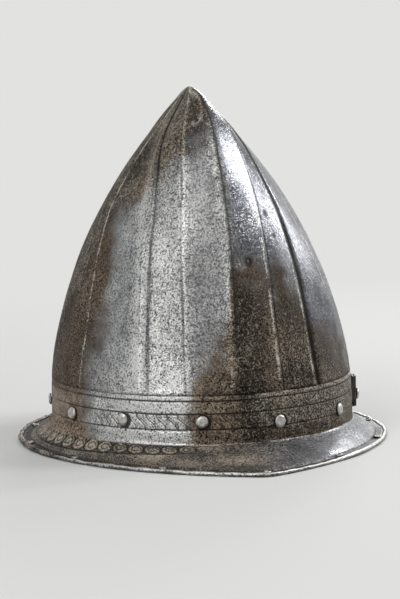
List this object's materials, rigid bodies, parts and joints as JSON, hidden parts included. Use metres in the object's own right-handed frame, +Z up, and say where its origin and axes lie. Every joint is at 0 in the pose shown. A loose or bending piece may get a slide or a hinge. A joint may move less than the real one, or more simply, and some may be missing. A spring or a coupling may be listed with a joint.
{
  "type": "cabasset",
  "caption": "Pointed infantry helmet of about 1580 with fluted, keeled skull, boat-shaped brim, rolled edge, round lining rivets and a quilted lining.",
  "frame": {"origin": "on the ground plane that the rolled brim edge rests on, under the middle of the skull", "axes": "+Z up through the skull's tip, -Y towards the front keel, +X towards the wearer's left"},
  "size_m": [0.255, 0.346, 0.2451],
  "materials": {
    "old_steel": "pitted and patinated steel, brown at the top and left, brighter at the right",
    "bright_iron": "worn bright rivet heads",
    "dark_iron": "dark hammered iron",
    "iron_wire": "drawn iron wire",
    "strap_leather": "old brown strap",
    "quilted_linen": "unbleached linen, quilted",
    "linen_cord": "twisted linen cord"
  },
  "bodies": {
    "root": {"skull": "old_steel", "brim_edge_wire": "iron_wire", "lining_rivets": "bright_iron", "lining_rivet_washers": "dark_iron", "brim_rivets": "dark_iron", "plume_socket": "dark_iron", "lining_band": "strap_leather", "lining_gore_front": "quilted_linen", "lining_gore_front_left": "quilted_linen", "lining_gore_left": "quilted_linen", "lining_gore_rear_left": "quilted_linen", "lining_gore_rear": "quilted_linen", "lining_gore_rear_right": "quilted_linen", "lining_gore_right": "quilted_linen", "lining_gore_front_right": "quilted_linen", "crown_lace": "linen_cord"}
  },
  "joints": []
}
